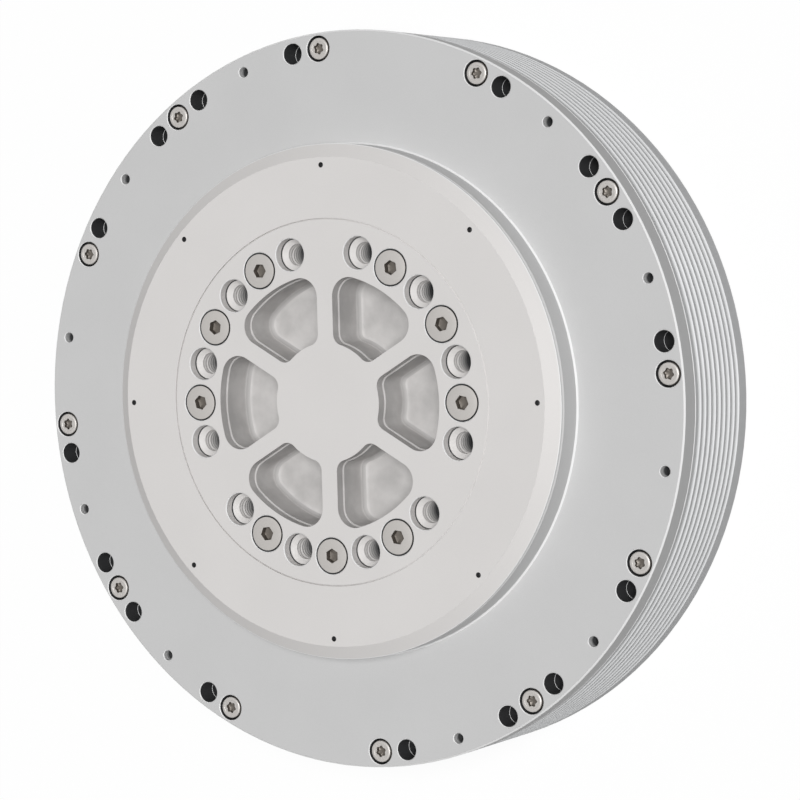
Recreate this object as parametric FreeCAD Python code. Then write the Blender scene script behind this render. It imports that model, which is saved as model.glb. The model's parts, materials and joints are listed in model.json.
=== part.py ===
import FreeCAD, Part
import math
import os

# Robot joint actuator: a flat finned motor housing with a bolted front plate and a
# wide output flange, driven through one planetary gear stage inside the motor's bore.
# Frame: millimetres, +Z along the joint axis towards the load. The origin is the
# centre of the rear face. Angles are in degrees about +Z.

# ---------------------------------------------------------------- driving dimensions
fit = 0.05                  # radial play of a running or threaded fit
clearance = 0.2             # radial play round a spigot or a loose part
air = 0.8                   # play between parts that turn past each other
edge = 0.5                  # broken edge of the turned parts
hole_c = 0.25               # broken edge round each hole's mouth
over = 1.0                  # how far a cut runs past the face that it opens

# housing and front plate
body_r = 115.0              # outside radius of the housing and the front plate
body_h = 44.5               # rear face to the front plate's face
plate_t = 7.0               # thickness of the front plate at its rim
rim_edge = 5.0              # rim's hole circle to the outside
wall = 10.0                 # rim's hole circle to the bore that holds the stator
ledge = 4.0                 # step of the bore behind the stator
rebate = 5.0                # rear cover's rebate, outside the bore
spigot_t = 3.5              # centring spigot behind the front plate
seal_d = 1.7                # cord of the seal ring round the spigot
seal_down = 1.7             # the seal's middle, behind the front plate's rear face

# cooling grooves round the housing
groove_n = 9
groove_pitch = 3.43
groove_mouth = 2.5
groove_floor = 1.1
groove_d = 1.2
groove_start = 1.9          # plain land between the housing's front edge and groove 1

# rim holes: screws, through holes beside them and small tapped holes
screw_n = 12
screw_r = 2.0               # M4
head_r = 3.5
head_h = 4.0
head_sink = 0.2             # screw head below the front face
head_c = 0.3
cbore_r = 4.1
screw_l = 10.0              # length under the head
drill_extra = 2.0           # drilled depth past a screw's end
mount_r = 3.3               # through hole for an M6 bolt
mount_angle = 5.0           # from a screw to a through hole beside it
plain_angle = 15.0          # no through holes this near to the X and Y axes
tapped_n = 12               # places of the small tapped holes, less the two of no_tap_angles
tapped_r = 1.65             # tapped M4 hole
tapped_d = 6.0
no_tap_angles = (90.0, 270.0)
drive_af = 3.5              # drive socket of the cap screws
drive_d = 1.8

# collar of the front plate, which seats the output bearing
collar_wall = 4.7
collar_h = 9.2              # above the front face
collar_c = 1.0              # chamfer on the collar's top edge
foot = 0.5                  # bevel at the collar's foot
relief_t = 0.5              # undercut beside the seat of the bearing's outer ring
relief_w = 1.5

# output flange
disc_rise = 12.85           # output face above the front face
disc_chamfer = 4.2          # width of the chamfer round the output face
rim_gap = 0.6               # gap between the flange and the collar
rim_land = 0.2
hub_seat = 3.25             # hub plate inside the bearing's bore
hub_t = 3.3
hub_c = 0.4
turn_angle = 10.9           # of the output flange at rest
spanner_n = 8
spanner_in = 2.4            # spanner holes inside the output face's edge
spanner_r = 0.85
spanner_d = 2.0

# output bolt circle
bolt_n = 12
bolt_in = 9.35              # bolt circle inside the hub plate's edge
tap_r = 3.4                 # tapped M8 hole
tap_d = 16.0
tap_mouth_r = 4.9           # countersunk mouth of the tapped hole
clear_r = 5.1               # clearance hole through the hub plate
flat_r = 3.0                # M6 countersunk screw
flat_head_r = 5.5
flat_gap = 0.25             # between the screw's head and its mouth
flat_head_h = 3.0
flat_rim = 0.6              # cylindrical rim of the head, with its sink
flat_sink = 0.15
flat_l = 16.0
key_af = 4.0                # hexagon socket across flats
key_d = 2.2

# lightening pockets
pocket_n = 6
pocket_web = 7.7            # bolt circle to the pockets
pocket_in_r = 18.5
spoke_w = 5.5
pocket_out_fillet = 6.0
pocket_in_fillet = 3.5
pocket_d = 15.0             # below the output face
pocket_inset = 0.4          # carrier's pocket inside the hub plate's outline
pocket_c = 0.3
pocket_floor_fillet = 2.0

# crossed roller bearing
bearing_in_r = 60.0
bearing_section = 15.0
bearing_w = 14.0
roller_d = 7.0
roller_gap = 0.2            # end play of a roller
roller_n = 32
race_gap = 1.2              # gap between the two rings
boss_gap = 0.2              # flange's clamping boss inside the inner ring's edge
seal_t = 1.6                # seal and clamp ring above the bearing
seal_w = 2.4
seal_lip = 0.8
seal_edge = 0.4
clamp_down = 0.1            # seal and clamp ring below the collar's top
clamp_slot = 3.0            # spanner slots of the clamp ring
clamp_slot_d = 1.0

# planetary stage
module = 1.75
pressure_angle = 25.0
sun_teeth = 12
planet_teeth = 24
planet_n = 3
planet_angle = 90.0         # first planet on the output flange
thin = 0.12                 # tooth thinning for backlash
ring_wall = 4.5
ring_relief = 1.0           # clearance round the ring gear's roots in front of the teeth
ring_flange_t = 3.0
ring_flange_w = 9.0         # flange outside the carrier's seat
ring_screw_in = 5.5         # screw circle inside the flange's edge
ring_screw_n = 8
ring_screw_l = 5.4
pin_r = 5.0
pin_seat = 7.0              # depth of a planet pin in the carrier
bush_t = 2.0
carrier_plate_t = 3.0
carrier_neck_r = 48.0
carrier_neck_l = 3.5
carrier_seat_w = 3.0        # shoulder under the bearing's inner ring
carrier_seat_t = 3.0
post_r = 7.0
post_in = 1.0               # posts inside the neck
post_screw_l = 8.0          # thread in the post
gear_play = 0.5             # end play beside the planets
spindle_r = 6.0
nose_l = 4.0
nose_bush_t = 2.5

# motor
slot_n = 24
stator_back = 8.0
tooth_w = 8.5
shoe_t = 2.2
slot_open = 3.0
coil_t = 5.0
coil_end = 3.0
coil_gap = 1.0              # coil to back iron and to pole shoe
liner = 0.25
airgap = 0.8
stack_up = 2.2              # laminations in front of the rotor's disc
magnet_n = 28
magnet_t = 3.0
magnet_cover = 0.9          # share of the yoke that the magnets cover
yoke_t = 5.0
rotor_gap = 1.5             # rotor's cup round the ring gear
rotor_wall = 3.0
rotor_disc_t = 2.7
rotor_hole_n = 6
rotor_hole_r = 8.0
rotor_lift = 0.3            # rotor's disc in front of the cover's boss
hub_lip = 2.0               # rotor's shoulder on the rear bearing
neck_in = 1.0               # rotor's neck inside its shaft radius

# rear cover, rotor bearing and electronics
cover_t = 3.5
gasket_t = 0.5
flange_in = 1.0             # cover's plug inside the throat
cover_screw_n = 8
cover_screw_d = 8.0
csk_r = 3.9                 # countersunk M4 head
csk_h = 1.9
csk_gap = 0.2
csk_key_af = 2.5
csk_key_d = 1.2
shaft_r = 12.5
ball_race_r = 18.5
ball_w = 7.0
ball_n = 9
ball_r = 2.0
race_half = 0.8             # ball circle to the edge of each race ring
boss_t = 4.5
board_in = 6.0              # board inside the throat
board_in_r = 24.5
board_t = 1.6
standoff_h = 2.0
standoff_r = 3.5
standoff_in = 6.0           # stand-offs inside the board's edge
standoff_n = 6
standoff_angle = 30.0
small_screw_r = 1.5         # M3
small_head_r = 2.75
small_head_h = 1.7
blind = 1.5                 # depth of a small thread in the cover
thread_end = 0.3            # thread's free depth past a screw's end
encoder_r = 30.0
encoder_w = 4.0
encoder_t = 1.5
sensor = 4.0
sensor_h = 1.0
sensor_angle = 60.0
port_in = 28.0              # sockets inside the board's edge
port_gap = 26.0
power_port = (16.0, 8.0)
signal_port = (12.0, 7.0)
port_wall = 1.0
port_sink = 0.6             # sockets' mouths below the cover's face
port_floor = 1.4
contact_sink = 4.6          # contacts below the cover's face
power_contact_n = 2
power_contact_r = 1.4
power_contact_pitch = 8.0
signal_contact_n = 4
signal_contact_r = 0.4
signal_contact_pitch = 2.2
transistor = (7.0, 6.0, 1.4)
transistor_at = 48.0
transistor_n = 12
capacitor_r = 3.2
capacitor_h = 3.2
capacitor_in = 8.0          # capacitors inside the stand-offs
capacitor_angle = 7.5       # either side of a stand-off's gap
capacitor_angles = (0.0, 60.0, 120.0)

# ---------------------------------------------------------------- derived dimensions
rim_r = body_r - rim_edge
bore_r = rim_r - wall
throat_r = bore_r - ledge
rebate_r = bore_r + rebate
cover_screw_r = (throat_r + rebate_r) / 2
housing_h = body_h - plate_t
spigot_z = housing_h - spigot_t
seal_z = housing_h - seal_down

bearing_out_r = bearing_in_r + bearing_section
collar_r = bearing_out_r + collar_wall
disc_face_r = collar_r - disc_chamfer
spanner_at = disc_face_r - spanner_in
hub_r = bearing_in_r - hub_seat
bolt_r = hub_r - bolt_in
flat_mouth_r = flat_head_r + flat_gap
pocket_out_r = bolt_r - pocket_web
carrier_seat_r = bearing_in_r + carrier_seat_w
post_at = carrier_neck_r - post_r - post_in

face_z = body_h + disc_rise
carrier_top = face_z - hub_t
collar_z = body_h + collar_h
disc_under = collar_z + rim_gap
bearing_top = collar_z - seal_t - clamp_down
bearing_z = bearing_top - bearing_w
pitch_r = bearing_in_r + bearing_section / 2
pitch_z = bearing_z + bearing_w / 2
inner_ring_r = pitch_r - race_gap / 2
outer_ring_r = pitch_r + race_gap / 2
boss_r = inner_ring_r - boss_gap

screw_angles = [360.0 / screw_n * (k + 0.5) for k in range(screw_n)]
mount_angles = [a + side * mount_angle for a in screw_angles for side in (-1, 1)
                if abs((a + side * mount_angle + 45) % 90 - 45) > plain_angle]
tapped_angles = [360.0 / tapped_n * k for k in range(tapped_n)
                 if 360.0 / tapped_n * k not in no_tap_angles]

cover_seat = cover_t + gasket_t
boss_top = cover_seat + ball_w
ball_z = cover_seat + ball_w / 2
ball_pitch_r = (shaft_r + ball_race_r) / 2
rotor_z = boss_top + rotor_lift
rotor_top = rotor_z + rotor_disc_t
carrier_plate_z = rotor_top + gear_play
carrier_plate_top = carrier_plate_z + carrier_plate_t
gear_z = carrier_plate_top + gear_play
carrier_z = bearing_z - carrier_seat_t - carrier_neck_l
gear_top = carrier_z - gear_play
ring_flange_z = spigot_z - ring_flange_t

ring_teeth = sun_teeth + 2 * planet_teeth
dedendum = 1.25 * module
centre_r = module * (sun_teeth + planet_teeth) / 2
ring_out_r = module * ring_teeth / 2 + dedendum + ring_wall
ring_flange_r = carrier_seat_r + ring_flange_w
ring_screw_r = ring_flange_r - ring_screw_in

rotor_in_r = ring_out_r + rotor_gap
yoke_in_r = rotor_in_r + rotor_wall
magnet_in_r = yoke_in_r + yoke_t
magnet_out_r = magnet_in_r + magnet_t
stator_in_r = magnet_out_r + airgap
stack_top = ring_flange_z - air
stack_z = rotor_top + stack_up

board_r = throat_r - board_in
standoff_at = board_r - standoff_in
port_at = board_r - port_in
board_z = cover_seat + standoff_h
board_top = board_z + board_t
port_top = rotor_z - air

Z = FreeCAD.Vector(0, 0, 1)
ORIGIN = FreeCAD.Vector(0, 0, 0)


# ---------------------------------------------------------------- helpers
def polar(r, angle, z=0.0):
    a = math.radians(angle)
    return FreeCAD.Vector(r * math.cos(a), r * math.sin(a), z)


def turned(*points):
    """Solid of revolution of a closed (radius, z) outline about the joint axis."""
    corners = [FreeCAD.Vector(r, 0, z) for r, z in points]
    face = Part.Face(Part.makePolygon(corners + corners[:1]))
    return face.revolve(ORIGIN, Z, 360)


def tube(r_in, r_out, z0, z1):
    return turned((r_in, z0), (r_out, z0), (r_out, z1), (r_in, z1))


def rod(r, z0, z1, at=ORIGIN):
    return Part.makeCylinder(r, z1 - z0, FreeCAD.Vector(at.x, at.y, z0), Z)


def cone(r0, r1, z0, z1, at):
    return Part.makeCone(r0, r1, z1 - z0, FreeCAD.Vector(at.x, at.y, z0), Z)


def rods(r, z0, z1, pitch, angles):
    return [rod(r, z0, z1, polar(pitch, a)) for a in angles]


def mouths(r, z, pitch, angles, c=hole_c):
    """Countersinks that break the edges of holes in a face at height z."""
    return [cone(r, r + c + over, z - c, z + over, polar(pitch, a)) for a in angles]


def spread(n, first=0.0):
    return [first + 360.0 / n * k for k in range(n)]


def rotated(shape, angle):
    copy = shape.copy()
    copy.rotate(ORIGIN, Z, angle)
    return copy


def block(radial, across, z0, z1, at, angle):
    """Box centred on the radius at, standing square to it."""
    box = Part.makeBox(radial, across, z1 - z0, FreeCAD.Vector(at - radial / 2, -across / 2, z0))
    return rotated(box, angle)


def hexagon(af, z0, z1, at, angle):
    corners = [at + polar(af / math.sqrt(3), angle + 60 * k) for k in range(7)]
    face = Part.Face(Part.makePolygon([FreeCAD.Vector(c.x, c.y, z0) for c in corners]))
    return face.extrude(Z * (z1 - z0))


def countersunk(head_r, head_h, shank_r, z0, z1, at):
    """Flat-head screw with its head's face at z0, standing up to z1."""
    head = cone(head_r, shank_r, z0, z0 + head_h, at)
    return head.fuse(rod(shank_r, z0 + head_h, z1, at)).removeSplitter()


def countersink(z, depth, at):
    """Hole with a countersunk mouth in a downward face at height z, for an M4 flat head."""
    slope = csk_h / (csk_r - screw_r)
    wide, narrow = csk_r + csk_gap, screw_r + clearance
    return [rod(narrow, z - over, z + depth, at), cone(wide, narrow, z, z + slope * (wide - narrow), at)]


# ---------------------------------------------------------------- gears
def involute(r, base):
    """Angle between the start of an involute of the circle base and its point at radius r."""
    slope = math.sqrt(max((r / base) ** 2 - 1, 0))
    return math.degrees(slope - math.atan(slope))


def toothed(z, inner, outer, swell, z0, z1, angle):
    """Prism with z involute teeth from radius inner to radius outer, one of them along angle.

    Swell is the change in a tooth's thickness at the pitch circle.
    """
    pitch = module * z / 2
    base = pitch * math.cos(math.radians(pressure_angle))
    start = max(inner, base)
    middle = (start + outer) / 2
    step = 360.0 / z

    def half(r):
        return step / 4 + math.degrees(swell / 2 / pitch) + involute(pitch, base) - involute(r, base)

    def flank(r, side):
        return polar(r, side * half(r))

    foot_angle = half(start)
    tooth = [Part.Arc(flank(start, -1), flank(middle, -1), flank(outer, -1)),
             Part.Arc(flank(outer, -1), polar(outer, 0), flank(outer, 1)),
             Part.Arc(flank(outer, 1), flank(middle, 1), flank(start, 1))]
    if start > inner:
        tooth.insert(0, Part.LineSegment(polar(inner, -foot_angle), flank(start, -1)))
        tooth.append(Part.LineSegment(flank(start, 1), polar(inner, foot_angle)))
    tooth.append(Part.Arc(polar(inner, foot_angle), polar(inner, step / 2), polar(inner, step - foot_angle)))
    edges = [rotated(curve.toShape(), step * k) for k in range(z) for curve in tooth]
    prism = Part.Face(Part.Wire(edges)).extrude(Z * (z1 - z0))
    prism.translate(Z * z0)
    return rotated(prism, angle)


def external_gear(z, angle):
    pitch = module * z / 2
    return toothed(z, pitch - dedendum, pitch + module, -thin, gear_z, gear_top, angle)


def planet_angles():
    return spread(planet_n, planet_angle + turn_angle)


def planet_phase(theta):
    """Angle of a planet's tooth in mesh with a ring whose gap is centred on angle 0."""
    ring_tooth = 180.0 / ring_teeth
    return theta - (ring_teeth * (theta - ring_tooth) - 180.0) / planet_teeth


def sun_phase():
    theta = planet_angles()[0]
    across = planet_teeth * (theta + 180.0 - planet_phase(theta))
    return theta - (180.0 - across) / sun_teeth


def ring_gear():
    """Fixed internal gear hung from the front plate, with its teeth inside the rotor."""
    pitch = module * ring_teeth / 2
    tip, root = pitch - module, pitch + dedendum
    body = turned((tip, carrier_plate_top), (ring_out_r, carrier_plate_top), (ring_out_r, ring_flange_z),
                  (ring_flange_r, ring_flange_z), (ring_flange_r, spigot_z), (tip, spigot_z))
    spaces = toothed(ring_teeth, tip, root, thin, carrier_plate_top - over, spigot_z + over, 0)
    tools = [spaces, rod(root + ring_relief, carrier_z, spigot_z + over)]
    for a in spread(ring_screw_n):
        at = polar(ring_screw_r, a)
        tools.append(rod(small_screw_r + clearance, ring_flange_z - over, spigot_z + over, at))
        tools.append(cone(small_head_r + clearance, small_screw_r + clearance,
                          ring_flange_z, ring_flange_z + small_head_h, at))
    return body.cut(tools)


def ring_gear_screws():
    return [countersunk(small_head_r, small_head_h, small_screw_r, ring_flange_z,
                        ring_flange_z + ring_screw_l, polar(ring_screw_r, a)) for a in spread(ring_screw_n)]


def sun_gear():
    gear = external_gear(sun_teeth, sun_phase())
    return gear.cut(rod(spindle_r, gear_z - over, gear_top + over))


def planet_gear(theta):
    gear = external_gear(planet_teeth, planet_phase(theta))
    gear = gear.cut(rod(pin_r + bush_t + fit, gear_z - over, gear_top + over))
    gear.translate(polar(centre_r, theta))
    return gear


# ---------------------------------------------------------------- housing and front plate
def front_plate():
    seat_r = carrier_seat_r + air
    relief_r = outer_ring_r + relief_w
    spigot_r = bore_r - clearance
    body = turned(
        (body_r - edge, body_h), (body_r, body_h - edge), (body_r, housing_h), (spigot_r, housing_h),
        (spigot_r, spigot_z), (seat_r, spigot_z), (seat_r, bearing_z - relief_t),
        (relief_r, bearing_z - relief_t), (relief_r, bearing_z), (bearing_out_r, bearing_z),
        (bearing_out_r, collar_z), (collar_r - collar_c, collar_z), (collar_r, collar_z - collar_c),
        (collar_r, body_h + foot), (collar_r + foot, body_h))
    groove = tube(bore_r - seal_d, bore_r + over, seal_z - seal_d / 2 - fit, seal_z + seal_d / 2 + fit)
    sink = body_h - head_h - head_sink
    ring_thread = ring_flange_z + ring_screw_l + thread_end
    tools = rods(screw_r + clearance, housing_h - over, sink + over, rim_r, screw_angles)
    tools += rods(cbore_r, sink, body_h + over, rim_r, screw_angles)
    tools += rods(mount_r, housing_h - over, body_h + over, rim_r, mount_angles)
    tools += rods(tapped_r, body_h - tapped_d, body_h + over, rim_r, tapped_angles)
    tools += mouths(cbore_r, body_h, rim_r, screw_angles)
    tools += mouths(mount_r, body_h, rim_r, mount_angles)
    tools += mouths(tapped_r, body_h, rim_r, tapped_angles)
    tools += rods(small_screw_r + fit, spigot_z - over, ring_thread, ring_screw_r, spread(ring_screw_n))
    return body.cut([groove] + tools)


def finned_housing():
    """Grooved tube: one turned outline holds the lands, the grooves and the stepped bore."""
    outline = [(rebate_r, 0), (body_r - edge, 0), (body_r, edge)]
    slope = (groove_mouth - groove_floor) / 2
    first = housing_h - groove_start
    for k in reversed(range(groove_n)):
        top = first - groove_pitch * k
        low = top - groove_mouth
        outline += [(body_r, low), (body_r - groove_d, low + slope),
                    (body_r - groove_d, top - slope), (body_r, top)]
    outline += [(body_r, housing_h - edge), (body_r - edge, housing_h), (bore_r, housing_h),
                (bore_r, stack_z), (throat_r, stack_z), (throat_r, cover_seat), (rebate_r, cover_seat)]
    depth = screw_l - (plate_t - head_h - head_sink) + drill_extra
    cover_thread = cover_seat + cover_screw_d
    tools = rods(screw_r + fit, housing_h - depth, housing_h + over, rim_r, screw_angles)
    tools += rods(mount_r, -over, housing_h + over, rim_r, mount_angles)
    tools += mouths(mount_r, housing_h, rim_r, mount_angles)
    tools += rods(screw_r + fit, cover_seat - over, cover_thread, cover_screw_r, spread(cover_screw_n))
    return turned(*outline).cut(tools)


def rim_screws():
    top = body_h - head_sink
    under = top - head_h
    screws = []
    for a in screw_angles:
        at = polar(rim_r, a)
        head = rod(head_r, under, top - head_c, at).fuse(cone(head_r, head_r - head_c, top - head_c, top, at))
        body = head.fuse(rod(screw_r, under - screw_l, under, at)).removeSplitter()
        screws.append(body.cut(hexagon(drive_af, top - drive_d, top + over, at, a)))
    return screws


def front_seal():
    """Cord ring in its groove, squeezed to an eight-sided section."""
    r, half = bore_r - seal_d / 2, seal_d / 2
    corners = [polar(half / math.cos(math.radians(22.5)), 22.5 + 45 * k) for k in range(8)]
    return turned(*[(r + c.x, seal_z + c.y) for c in corners])


# ---------------------------------------------------------------- output bearing
def race():
    """Square track of the crossed rollers, standing on its corner."""
    reach = (roller_d / 2 + fit) * math.sqrt(2)
    return turned((pitch_r - reach, pitch_z), (pitch_r, pitch_z - reach),
                  (pitch_r + reach, pitch_z), (pitch_r, pitch_z + reach))


def bearing_outer_ring():
    return tube(outer_ring_r, bearing_out_r, bearing_z, bearing_top).cut(race())


def bearing_inner_ring():
    return tube(bearing_in_r, inner_ring_r, bearing_z, bearing_top).cut(race())


def crossed_rollers():
    """Rollers in the square track, each one square to its neighbours."""
    length = roller_d - roller_gap
    rollers = []
    for k, a in enumerate(spread(roller_n)):
        axis = FreeCAD.Vector(1, 0, 1 if k % 2 else -1).normalize()
        start = FreeCAD.Vector(pitch_r, 0, pitch_z) - axis * length / 2
        rollers.append(rotated(Part.makeCylinder(roller_d / 2, length, start, axis), a))
    return rollers


def clamp_ring():
    """Threaded ring that holds the bearing's outer ring down in the collar."""
    inner = boss_r + seal_w
    top = bearing_top + seal_t
    ring = tube(inner, bearing_out_r - fit, bearing_top, top)
    return ring.cut([block(clamp_slot, clamp_slot, top - clamp_slot_d, top + over, inner + clamp_slot / 2, a)
                     for a in spread(4, 45)])


def output_seal():
    """Lip seal between the flange's boss and the clamp ring."""
    z, top = bearing_top, bearing_top + seal_t
    inner, outer = boss_r + fit, boss_r + seal_w
    return turned((inner + seal_lip, z), (outer, z), (outer, top), (inner + seal_edge, top),
                  (inner, top - seal_edge), (inner, top - 2 * seal_edge), (inner + seal_lip, z + seal_edge))


# ---------------------------------------------------------------- stator
def stator_core():
    """Lamination stack: back iron, parallel teeth and pole shoes with slot openings."""
    back = tube(bore_r - stator_back, bore_r, stack_z, stack_top)
    shoe = tube(stator_in_r, stator_in_r + shoe_t, stack_z, stack_top)
    gaps = [block(2 * shoe_t + over, slot_open, stack_z - over, stack_top + over, stator_in_r + shoe_t / 2, a)
            for a in spread(slot_n, 180.0 / slot_n)]
    length = bore_r - stator_back - stator_in_r
    teeth = [block(length, tooth_w, stack_z, stack_top, stator_in_r + (length + shoe_t) / 2, a)
             for a in spread(slot_n)]
    return back.fuse([shoe.cut(gaps)] + teeth).removeSplitter()


def coils():
    """One concentrated winding round each stator tooth."""
    inner = tooth_w / 2 + liner
    z0, z1 = stack_z - coil_end, stack_top + coil_end
    r0 = stator_in_r + shoe_t + coil_gap
    r1 = bore_r - stator_back - coil_gap
    winding = Part.makeBox(r1 - r0, 2 * (inner + coil_t), z1 - z0, FreeCAD.Vector(r0, -inner - coil_t, z0))
    corners = [e for e in winding.Edges if abs(e.tangentAt(e.FirstParameter).x) > 0.5]
    winding = winding.makeChamfer(coil_end / 2, corners)
    window = Part.makeBox(r1 - r0 + 2 * over, 2 * inner, stack_top - stack_z + 2 * liner,
                          FreeCAD.Vector(r0 - over, -inner, stack_z - liner))
    winding = winding.cut(window)
    return [rotated(winding, a) for a in spread(slot_n)]


# ---------------------------------------------------------------- rear cover and electronics
def port_boxes(z0, z1, grow):
    """Outlines of the two rear sockets, side by side on the cover."""
    boxes = []
    for (across, high), side in ((power_port, -1), (signal_port, 1)):
        radial, wide = high + 2 * grow, across + 2 * grow
        at = FreeCAD.Vector(-port_at - radial / 2, side * port_gap / 2 - wide / 2, z0)
        boxes.append(Part.makeBox(radial, wide, z1 - z0, at))
    return boxes


def standoffs(r, z0, z1):
    return rods(r, z0, z1, standoff_at, spread(standoff_n, standoff_angle))


def rear_cover():
    """Flat cover with a plug in the throat, the rotor bearing's boss and the board's stand-offs."""
    r = rebate_r - clearance
    plug_r = throat_r - flange_in
    boss = ball_race_r + boss_t
    body = turned((0, 0), (r - edge, 0), (r, edge), (r, cover_t), (plug_r, cover_t), (plug_r, cover_seat),
                  (boss, cover_seat), (boss, boss_top), (ball_race_r, boss_top),
                  (ball_race_r, cover_seat), (0, cover_seat))
    body = body.fuse(standoffs(standoff_r, cover_t, board_z)).removeSplitter()
    tools = standoffs(small_screw_r + fit, cover_seat - blind, board_z + over)
    for a in spread(cover_screw_n):
        tools += countersink(0, cover_t + over, polar(cover_screw_r, a))
    tools += port_boxes(-over, cover_seat + over, clearance)
    return body.cut(tools)


def cover_gasket():
    ring = tube(throat_r, rebate_r - clearance, cover_t, cover_seat)
    return ring.cut(rods(screw_r + clearance, cover_t - over, cover_seat + over, cover_screw_r,
                         spread(cover_screw_n)))


def cover_screws():
    end = cover_seat + cover_screw_d - drill_extra
    screws = []
    for a in spread(cover_screw_n):
        at = polar(cover_screw_r, a)
        screw = countersunk(csk_r, csk_h, screw_r, 0, end, at)
        screws.append(screw.cut(hexagon(csk_key_af, -over, csk_key_d, at, a)))
    return screws


def driver_board():
    tools = standoffs(small_screw_r + clearance, board_z - over, board_top + over)
    tools += port_boxes(board_z - over, board_top + over, clearance)
    return tube(board_in_r, board_r, board_z, board_top).cut(tools)


def board_screws():
    heads = standoffs(small_head_r, board_top, board_top + small_head_h)
    shanks = standoffs(small_screw_r, cover_seat - blind + thread_end, board_top)
    return [head.fuse(shank).removeSplitter() for head, shank in zip(heads, shanks)]


def transistors():
    long, wide, high = transistor
    return [block(long, wide, board_top, board_top + high, transistor_at, a)
            for a in spread(transistor_n, 180.0 / transistor_n)]


def bus_capacitors():
    return rods(capacitor_r, board_top, board_top + capacitor_h, standoff_at - capacitor_in,
                [a + side * capacitor_angle for a in capacitor_angles for side in (-1, 1)])


def encoder_sensor():
    return block(sensor, sensor, board_top, board_top + sensor_h, encoder_r - encoder_w / 2, sensor_angle)


def sockets():
    """Power and signal sockets: open shells that stand through the board and the cover."""
    shells = port_boxes(port_sink, port_top, 0)
    cavities = port_boxes(port_sink - over, port_top - port_floor, -port_wall)
    return [shell.cut(cavity) for shell, cavity in zip(shells, cavities)]


def contacts():
    """Pins that stand on each socket's floor."""
    rows = ((-1, power_contact_n, power_contact_r, power_contact_pitch),
            (1, signal_contact_n, signal_contact_r, signal_contact_pitch))
    pins = []
    for side, count, radius, pitch in rows:
        for k in range(count):
            y = side * port_gap / 2 + pitch * (k - (count - 1) / 2)
            pins.append(rod(radius, contact_sink, port_top - port_floor, FreeCAD.Vector(-port_at, y, 0)))
    return pins


def ball_track():
    return Part.makeTorus(ball_pitch_r, ball_r + fit, FreeCAD.Vector(0, 0, ball_z), Z)


def rear_bearing_outer():
    return tube(ball_pitch_r + race_half, ball_race_r, cover_seat, boss_top).cut(ball_track())


def rear_bearing_inner():
    return tube(shaft_r, ball_pitch_r - race_half, cover_seat, boss_top).cut(ball_track())


def rear_bearing_balls():
    return [Part.makeSphere(ball_r, polar(ball_pitch_r, a, ball_z)) for a in spread(ball_n)]


# ---------------------------------------------------------------- rotor
def rotor_hub():
    """Cup that carries the magnets round the gear stage, with the spindle for the sun."""
    neck_r = shaft_r - neck_in
    nose = carrier_z + nose_l - gear_play
    body = turned((0, cover_seat + rotor_lift), (shaft_r, cover_seat + rotor_lift), (shaft_r, boss_top),
                  (shaft_r + hub_lip, boss_top), (shaft_r + hub_lip, rotor_z), (magnet_in_r, rotor_z),
                  (magnet_in_r, rotor_top), (yoke_in_r, rotor_top), (yoke_in_r, stack_top),
                  (rotor_in_r, stack_top), (rotor_in_r, rotor_top), (neck_r, rotor_top),
                  (neck_r, gear_z), (spindle_r, gear_z), (spindle_r, nose), (0, nose))
    middle = (encoder_r + rotor_in_r) / 2
    return body.cut(rods(rotor_hole_r, rotor_z - over, rotor_top + over, middle, spread(rotor_hole_n)))


def rotor_yoke():
    return tube(yoke_in_r, magnet_in_r, rotor_top, stack_top)


def magnets():
    span = 360.0 / magnet_n * magnet_cover
    corners = [FreeCAD.Vector(r, 0, z) for r, z in ((magnet_in_r, stack_z), (magnet_out_r, stack_z),
                                                    (magnet_out_r, stack_top), (magnet_in_r, stack_top))]
    side = Part.Face(Part.makePolygon(corners + corners[:1]))
    magnet = side.revolve(ORIGIN, Z, span)
    return [rotated(magnet, a) for a in spread(magnet_n, -span / 2)]


def encoder_magnet():
    return tube(encoder_r - encoder_w, encoder_r, rotor_z - encoder_t, rotor_z)


# ---------------------------------------------------------------- output group
def pocket_face(inset, z):
    """Rounded pocket outline between two spokes, centred on angle 0."""
    half = 180.0 / pocket_n
    side = spoke_w / 2 + inset
    out_r, in_r = pocket_out_r - inset, pocket_in_r + inset
    big, small = pocket_out_fillet - inset, pocket_in_fillet - inset

    def corner(centre, radius):
        """Centre of the fillet between a spoke and an arc, and its angle."""
        angle = half - math.degrees(math.asin((side + radius) / centre))
        return polar(centre, angle, z), angle

    def mirror(p):
        return FreeCAD.Vector(p.x, -p.y, p.z)

    big_c, big_a = corner(out_r - big, big)
    small_c, small_a = corner(in_r + small, small)
    normal = polar(1, half + 90)
    a1 = polar(out_r, big_a, z)
    a2 = big_c + polar(big, (big_a + half + 90) / 2)
    a3 = big_c + normal * big
    b1 = small_c + normal * small
    b2 = small_c + polar(small, (half + 90 + small_a + 180) / 2)
    b3 = polar(in_r, small_a, z)
    curves = [Part.Arc(mirror(a1), polar(out_r, 0, z), a1), Part.Arc(a1, a2, a3), Part.LineSegment(a3, b1),
              Part.Arc(b1, b2, b3), Part.Arc(b3, polar(in_r, 0, z), mirror(b3)),
              Part.Arc(mirror(b3), mirror(b2), mirror(b1)), Part.LineSegment(mirror(b1), mirror(a3)),
              Part.Arc(mirror(a3), mirror(a2), mirror(a1))]
    return Part.Face(Part.Wire([c.toShape() for c in curves]))


def flat_screw_angles():
    """Every second place of the hub's hole circle, less the three over the planet pins."""
    over_pins = [round(a) % 360 for a in spread(planet_n, planet_angle)]
    return [a + turn_angle for a in spread(bolt_n) if round(a) % 360 not in over_pins]


def tap_angles():
    return spread(bolt_n, 180.0 / bolt_n + turn_angle)


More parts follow.
